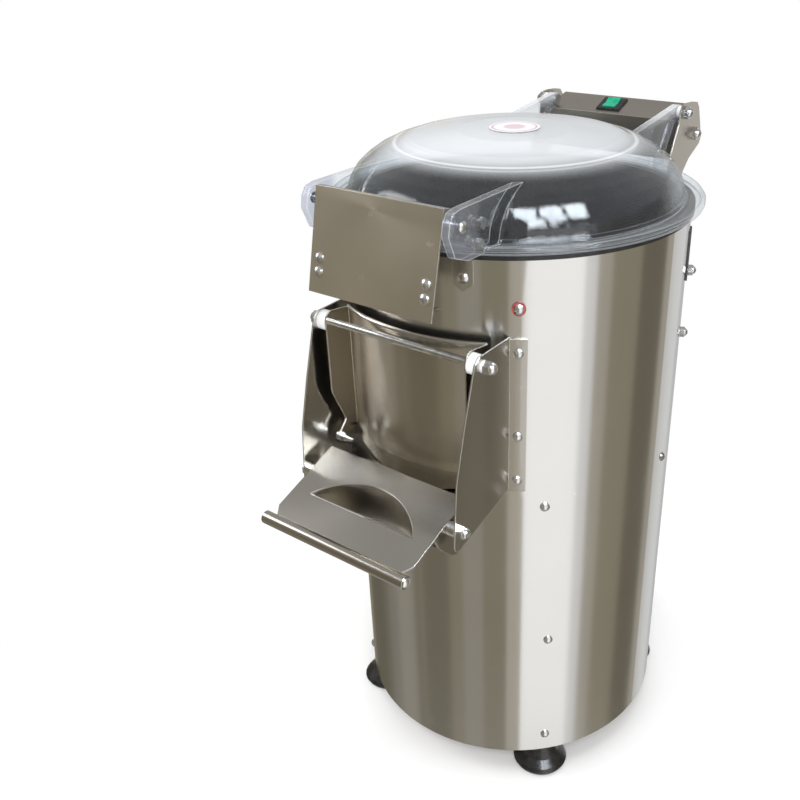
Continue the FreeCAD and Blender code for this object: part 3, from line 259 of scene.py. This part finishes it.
def clear_plastic(name, tint, ear_tint=(0.76, 0.78, 0.84), gloss_rough=(0.02, 0.08),
                  gloss_radius=0.007, milk=0.022, grazing_painted_sheen=0.13,
                  crown_band=(0.726, 0.742), crown_painted_reflection=0.42,
                  ring_radius=0.128, ring_half=0.0035, ring_painted_highlight=0.3,
                  ears_band=(0.206, 0.214), ear_painted_highlight=0.07,
                  rim_radius=0.0012, rim_painted_highlight=0.6):
    """Clear moulded plastic seen as a thin sheet: light goes through unbent, and it shines.

    The white share in it is a little milky haze from scuffs, a painted sheen at grazing angles, a
    painted reflection on the crown's top (a band of heights), and painted highlights on a ring,
    on the ears (a band of reaches from the axis) and at edges.
    """
    made, tree, surface = material(name)
    links = tree.links
    tree.nodes.remove(surface)
    place = object_place(tree)
    scuff = noise(tree, place, 26.0, 5.0, 0.65)
    reach = reach_from(tree, place, 0.0, AXIS_Y)
    on_ears = map_range(tree, reach, *ears_band)
    height = tree.nodes.new("ShaderNodeSeparateXYZ")
    links.new(place, height.inputs[0])
    # A painted reflection of the bright overhead: white on the crown's top, above a band of
    # heights.
    crown_reflection_mask = map_range(tree, height.outputs["Z"], *crown_band, high=crown_painted_reflection, eased=True)
    # A painted highlight: a white ring round the crown.
    off_ring = math_node(tree, "ABSOLUTE", math_node(tree, "SUBTRACT", reach, ring_radius))
    ring_highlight_mask = map_range(tree, off_ring, ring_half, 0.0, high=ring_painted_highlight, eased=True)
    # A painted highlight: white at the edges, where the rounded normal turns.
    rim_highlight_mask = edge_mask(tree, rim_radius, 0.84, 0.96)[1]
    # A painted sheen: more white is mixed in at grazing angles.
    facing = node(tree, "ShaderNodeLayerWeight", Blend=0.5).outputs["Facing"]
    grazing = math_node(tree, "POWER", facing, 3.0)

    # The white share: real milky haze from scuffs, plus a painted sheen, a painted reflection and
    # painted highlights.
    haze_and_painted_light = math_node(tree, "MULTIPLY", grazing, grazing_painted_sheen)
    haze_and_painted_light = math_node(tree, "MULTIPLY_ADD", scuff, milk, haze_and_painted_light)
    haze_and_painted_light = math_node(tree, "ADD", haze_and_painted_light, crown_reflection_mask)
    haze_and_painted_light = math_node(tree, "ADD", haze_and_painted_light, ring_highlight_mask)
    # A painted highlight: the ears are made whiter all over.
    haze_and_painted_light = math_node(tree, "MULTIPLY_ADD", on_ears, ear_painted_highlight, haze_and_painted_light)
    haze_and_painted_light = math_node(tree, "MULTIPLY_ADD", rim_highlight_mask, rim_painted_highlight, haze_and_painted_light)

    through = tree.nodes.new("ShaderNodeBsdfTransparent")
    tinted = mix(tree, "RGBA", on_ears, (*tint, 1.0), (*ear_tint, 1.0))
    links.new(tinted, through.inputs["Color"])
    white = node(tree, "ShaderNodeBsdfDiffuse", Color=(0.9, 0.92, 0.94, 1.0))
    body = mix_shader(tree, haze_and_painted_light, through.outputs[0], white.outputs[0])

    gloss = tree.nodes.new("ShaderNodeBsdfGlossy")
    dullness = map_range(tree, scuff, low=gloss_rough[0], high=gloss_rough[1])
    links.new(dullness, gloss.inputs["Roughness"])
    links.new(bevel(tree, gloss_radius, 6), gloss.inputs["Normal"])
    mirrored_share = math_node(tree, "MULTIPLY_ADD", math_node(tree, "POWER", facing, 5.0),
                               0.9, 0.05)
    shine = mix_shader(tree, mirrored_share, body, gloss.outputs[0])
    links.new(shine, tree.nodes["Material Output"].inputs["Surface"])
    return made


STICKER_RADIUS = 0.027


def sticker(name, x, y):
    """A round sticker with a plain rim and a faint generic disc in its middle."""
    made, tree, surface = material(name)
    place = object_place(tree)
    rough_edge = noise(tree, place, 90.0, 3.0)
    reach = math_node(tree, "MULTIPLY_ADD", rough_edge, 0.0006, reach_from(tree, place, x, y))
    scaled = math_node(tree, "MULTIPLY", reach, 1.0 / STICKER_RADIUS)
    white, pale, rim = (0.74, 0.73, 0.75), (0.6, 0.48, 0.52), (0.5, 0.36, 0.4)
    colour = ramp(tree, scaled, [(0.0, pale), (0.36, pale), (0.52, white),
                                 (0.8, white), (0.88, rim), (0.96, white)])
    tree.links.new(colour, surface.inputs["Base Color"])
    surface.inputs["Roughness"].default_value = 0.35
    return made


drum_steel = steel("drum_steel", "drum", tone=0.66, rough=0.15, stretch=0.8, grain=0.04)
plate_x = steel("plate_steel_x", "x", tone=0.52, warm=0.06, rough=0.2, stretch=0.6,
                grain=0.014, wear=0.2, edge=0.0009)
plate_z = steel("plate_steel_z", "z", tone=0.56, warm=0.04, stretch=0.6, grain=0.012,
                edge=0.0009)
latch_steel = steel("latch_steel", "x", tone=0.74, warm=0.07, rough=0.24, stretch=0.5,
                    grain=0.01, wear=0.3, edge=0.0007)
door_steel = steel("door_steel", "z", tone=0.56, warm=0.07, rough=0.2, stretch=0.5,
                   grain=0.014, wear=0.2, edge=0.0007)
box_steel = steel("box_steel", "x", tone=0.46, warm=0.08, rough=0.28, stretch=0.4,
                  grain=0.03, edge=0.0007)

bright = plain("turned_steel", (0.6, 0.6, 0.59), (0.8, 0.8, 0.79), 180.0, (0.12, 0.26),
               metallic=1.0, bumped=0.05)
alloy = plain("turned_alloy", (0.5, 0.5, 0.51), (0.66, 0.66, 0.67), 130.0, (0.25, 0.4),
              metallic=1.0, bumped=0.1)
casting = plain("rough_casting", (0.1, 0.1, 0.105), (0.2, 0.2, 0.2), 110.0, (0.45, 0.6),
                metallic=0.6, bumped=0.4)
strip = plain("dark_strip", (0.03, 0.03, 0.03), (0.09, 0.085, 0.08), 90.0, (0.3, 0.5),
              metallic=0.3, bumped=0.1)
rubber = plain("black_rubber", (0.006, 0.006, 0.007), (0.02, 0.02, 0.021), 70.0, (0.16, 0.34),
               bumped=0.08, coat=0.3)
gasket = plain("gasket_rubber", (0.008, 0.008, 0.009), (0.02, 0.02, 0.022), 90.0, (0.3, 0.5),
               bumped=0.08)
liner = plain("coated_liner", (0.004, 0.006, 0.013), (0.01, 0.014, 0.027), 120.0, (0.16, 0.28),
              bumped=0.06)
grit = plain("abrasive_grit", (0.02, 0.021, 0.024), (0.13, 0.13, 0.135), 620.0, (0.6, 0.85),
             bumped=0.9)
nylon = plain("white_nylon", (0.74, 0.75, 0.75), (0.86, 0.87, 0.87), 120.0, bumped=0.05)
red = plain("red_washer", (0.3, 0.035, 0.035), (0.44, 0.07, 0.07), 150.0)
black = plain("black_moulding", (0.008, 0.009, 0.009), (0.02, 0.022, 0.022), 150.0, (0.2, 0.34),
              bumped=0.05)
green = plain("green_moulding", (0.0, 0.24, 0.13), (0.01, 0.36, 0.2), 130.0, (0.2, 0.32),
              coat=0.2)
enamel = plain("grey_enamel", (0.12, 0.14, 0.16), (0.2, 0.22, 0.25), 60.0, (0.35, 0.5),
               bumped=0.1)
clear = clear_plastic("clear_plastic", (0.93, 0.95, 0.965))
paper = sticker("plain_sticker", 0.0, AXIS_Y)

# What each material slot of the record wears, and the pieces that wear something else.
SLOT_MATERIALS = {
    "screw_steel": bright, "pulley_metal": alloy, "cast_housing": casting,
    "motor_paint": enamel, "dark_liner": liner, "clear_plastic": clear,
    "black_rubber": rubber, "dark_seal": gasket, "dark_clip": strip, "white_plastic": nylon,
    "red_plastic": red, "black_plastic": black, "green_plastic": green, "label_paper": paper,
    "stainless": plate_x,
}
NODE_MATERIALS = {
    "body_shell": drum_steel, "lower_shell": drum_steel, "drain_spout": drum_steel,
    "door_panel": door_steel, "lever_plate": plate_x, "handle_bar": plate_x,
    "latch_plate": latch_steel, "chute_web_left": plate_z, "chute_web_right": plate_z,
    "switch_box": box_steel, "hinge_bracket_left": box_steel, "hinge_bracket_right": box_steel,
    "rim_gasket": gasket, "abrasive_disc": grit,
}


def dress(obj, made):
    """Gives the object this one material."""
    obj.data.materials.clear()
    obj.data.materials.append(made)


for entry in frame["record"]["subparts"]:
    name = entry["node"]
    dress(nodes[name], NODE_MATERIALS.get(name, SLOT_MATERIALS[entry["material_slot"]]))


def stage_piece(name, points, faces, made):
    data = bpy.data.meshes.new(name)
    data.from_pydata(points, [], faces)
    data.update()
    obj = bpy.data.objects.new(name, data)
    bpy.context.scene.collection.objects.link(obj)
    dress(obj, made)
    return obj


def floor_material():
    """A pale floor that takes the shadow near the feet and is white to the camera further out."""
    made, tree, surface = material("studio_floor")
    place = object_place(tree)
    cloud = noise(tree, place, 3.0, 2.0)
    colour = ramp(tree, cloud, [(0.3, (0.9, 0.9, 0.9)), (0.7, (0.93, 0.93, 0.93))])
    tree.links.new(colour, surface.inputs["Base Color"])
    surface.inputs["Roughness"].default_value = 0.9
    surface.inputs["Specular IOR Level"].default_value = 0.0
    reach = vector_math(tree, "LENGTH", place)
    far = map_range(tree, reach, 0.3, 0.75, eased=True)
    ray = tree.nodes.new("ShaderNodeLightPath")
    amount = math_node(tree, "MULTIPLY", far, ray.outputs["Is Camera Ray"])
    white = node(tree, "ShaderNodeEmission", Strength=1.0, Color=(1.0, 1.0, 1.0, 1.0))
    mixed = mix_shader(tree, amount, surface.outputs[0], white.outputs[0])
    tree.links.new(mixed, tree.nodes["Material Output"].inputs["Surface"])
    return made


FAR = 9.0
floor_corners = [(-FAR, -FAR, 0), (FAR, -FAR, 0), (FAR, FAR, 0), (-FAR, FAR, 0)]
floor = stage_piece("studio_ground", floor_corners, [(0, 1, 2, 3)], floor_material())
floor.visible_glossy = False


def lit_piece(name, points, faces, strength, colour):
    """A plain light-giving mesh that only shiny pieces see."""
    made, tree, surface = material(name + "_glow")
    tree.nodes.remove(surface)
    light = node(tree, "ShaderNodeEmission", Strength=strength, Color=(*colour, 1.0))
    tree.links.new(light.outputs[0], tree.nodes["Material Output"].inputs["Surface"])
    obj = stage_piece(name, points, faces, made)
    obj.visible_camera = False
    obj.visible_diffuse = False
    obj.visible_shadow = False
    obj.visible_transmission = False


# The ring of cards, in metres, and how many degrees one flat facet of a card spans.
CARD_RADIUS = 1.35
CARD_FOOT = -1.5
CARD_TOP = 0.95
CARD_FACET = 4


def card(name, start, end, strength, colour):
    """A curved upright card round the drum, between two angles from the front."""
    steps = max(2, int(abs(end - start) / CARD_FACET))
    points, faces = [], []
    for i in range(steps + 1):
        turn = math.radians(start + (end - start) * i / steps)
        x, y = CARD_RADIUS * math.sin(turn), AXIS_Y - CARD_RADIUS * math.cos(turn)
        points += [(x, y, CARD_FOOT), (x, y, CARD_TOP)]
    for i in range(steps):
        faces.append((2 * i, 2 * i + 2, 2 * i + 3, 2 * i + 1))
    lit_piece(name, points, faces, strength, colour)


def mirrored(angle):
    """Where on the ring of cards the drum's side at this angle looks, seen from the camera."""
    outward = Vector((math.sin(math.radians(angle)), -math.cos(math.radians(angle))))
    start = outward * DRUM_RADIUS
    look = (start - Vector(EYE[:2])).normalized()
    away = look - 2 * look.dot(outward) * outward
    along = start.dot(away)
    reach = -along + math.sqrt(along ** 2 + CARD_RADIUS ** 2 - DRUM_RADIUS ** 2)
    hit = start + away * reach
    found = math.degrees(math.atan2(hit.x, -hit.y))
    return found + 360 if angle > 60 and found < 0 else found


WARM = (1.0, 0.93, 0.79)
OLIVE = (1.0, 0.91, 0.68)
WHITE = (1.0, 1.0, 1.0)
COOL = (0.98, 0.99, 1.0)
# The cards stand side by side. Each row has a name, the angle from the front at which the
# drum's side that shows the card ends, and the card's strength and colour.
CARDS_FROM = -52
CARDS = [
    ("card_a", -43, 0.52, WARM), ("card_b", -36, 0.30, OLIVE), ("card_c", -22, 0.15, OLIVE),
    ("card_s", -18, 0.19, OLIVE), ("card_d", -12, 0.26, WARM), ("card_e", -3, 0.34, WARM),
    ("card_f", 0, 0.2, OLIVE), ("card_t", 1.2, 0.3, OLIVE), ("card_u", 12, 0.19, OLIVE),
    ("card_g", 17, 0.28, OLIVE), ("card_h", 24, 0.34, WARM), ("card_i", 32, 0.27, OLIVE),
    ("card_j", 37, 0.5, WARM), ("card_k", 54, 1.22, WHITE), ("card_l", 58, 0.85, WHITE),
    ("card_m", 63, 0.45, WARM), ("card_n", 74, 0.3, OLIVE), ("card_o", 86, 0.17, OLIVE),
    ("card_p", 91, 0.45, WARM), ("card_q", 102, 0.78, COOL), ("card_r", 126, 0.55, COOL),
]
first = CARDS_FROM
for name, last, strength, colour in CARDS:
    card(name, mirrored(first), mirrored(last), strength, colour)
    first = last


def window(name, centre, target, columns, rows, pane, gap, strength, colour):
    """A lit window of separate panes that faces the target."""
    back = (Vector(target) - Vector(centre)).normalized()
    across = Vector((0, 0, 1)).cross(back).normalized()
    upward = back.cross(across)
    width, height = pane
    points, faces = [], []
    for column in range(columns):
        for row in range(rows):
            x = (column - (columns - 1) / 2) * (width + gap)
            y = (row - (rows - 1) / 2) * (height + gap)
            first = len(points)
            for dx, dy in ((-1, -1), (1, -1), (1, 1), (-1, 1)):
                aside, above = x + dx * width / 2, y + dy * height / 2
                points.append(Vector(centre) + across * aside + upward * above)
            faces.append((first, first + 1, first + 2, first + 3))
    lit_piece(name, points, faces, strength, colour)


window("lit_window", centre=(1.08, -0.55, 1.62), target=(0.12, -0.09, 0.7), columns=3, rows=2,
       pane=(0.32, 0.4), gap=0.06, strength=14.0, colour=(0.86, 0.93, 1.0))


def lamp(name, place, target, size, power, mirrored_too=True):
    """A soft rectangular lamp that faces the target."""
    data = bpy.data.lights.new(name, "AREA")
    data.shape = "RECTANGLE"
    data.size, data.size_y = size
    data.energy = power
    obj = bpy.data.objects.new(name, data)
    bpy.context.scene.collection.objects.link(obj)
    obj.location = place
    facing = Vector(target) - Vector(place)
    obj.rotation_euler = facing.to_track_quat("-Z", "Y").to_euler()
    obj.visible_glossy = mirrored_too


lamp("lamp_key", (1.6, -2.2, 2.6), (0, 0, 0.4), (1.6, 1.6), 70, mirrored_too=False)
lamp("lamp_left", (-2.4, -1.2, 1.9), (0, 0, 0.4), (1.4, 1.8), 34)
lamp("lamp_top", (0.0, 0.4, 3.2), (0, 0, 0.3), (2.2, 2.2), 40, mirrored_too=False)

# The world is white to the camera, softer as light and softer still where it is mirrored.
WORLD_AS_LIGHT = 0.6
WORLD_MIRRORED = 0.42
world = bpy.data.worlds.new("studio")
bpy.context.scene.world = world
world.use_nodes = True
tree = world.node_tree
ray = tree.nodes.new("ShaderNodeLightPath")
level = mix(tree, "FLOAT", ray.outputs["Is Camera Ray"], WORLD_AS_LIGHT, 1.0)
level = mix(tree, "FLOAT", ray.outputs["Is Glossy Ray"], level, WORLD_MIRRORED)
background = tree.nodes["Background"]
background.inputs["Color"].default_value = (1.0, 1.0, 1.0, 1.0)
tree.links.new(level, background.inputs["Strength"])

# ---------------------------------------------------------------- camera
# The angles, in degrees, the lens and the shift are those of the photograph's own view.
AZIMUTH, PITCH, ROLL = 37.468, 27.739, 1.465
camera_data = bpy.data.cameras.new("view")
camera_data.sensor_width = 36.0
camera_data.lens = 42.08
camera_data.shift_x = -0.0625
camera_data.clip_end = 60.0
camera = bpy.data.objects.new("view", camera_data)
bpy.context.scene.collection.objects.link(camera)
azimuth, pitch, roll = math.radians(AZIMUTH), math.radians(PITCH), math.radians(ROLL)
forward = Vector((-math.sin(azimuth) * math.cos(pitch), math.cos(azimuth) * math.cos(pitch),
                  -math.sin(pitch)))
side = Vector((math.cos(azimuth), math.sin(azimuth), 0.0))
down = forward.cross(side)
right = side * math.cos(roll) + down * math.sin(roll)
down = down * math.cos(roll) - side * math.sin(roll)
camera.matrix_world = Matrix((
    (right.x, -down.x, -forward.x, EYE[0]),
    (right.y, -down.y, -forward.y, EYE[1] + AXIS_Y),
    (right.z, -down.z, -forward.z, EYE[2] + FLOOR_TO_DRUM),
    (0, 0, 0, 1)))
bpy.context.scene.camera = camera

scene = bpy.context.scene
scene.view_settings.view_transform = "Standard"
scene.view_settings.look = "None"
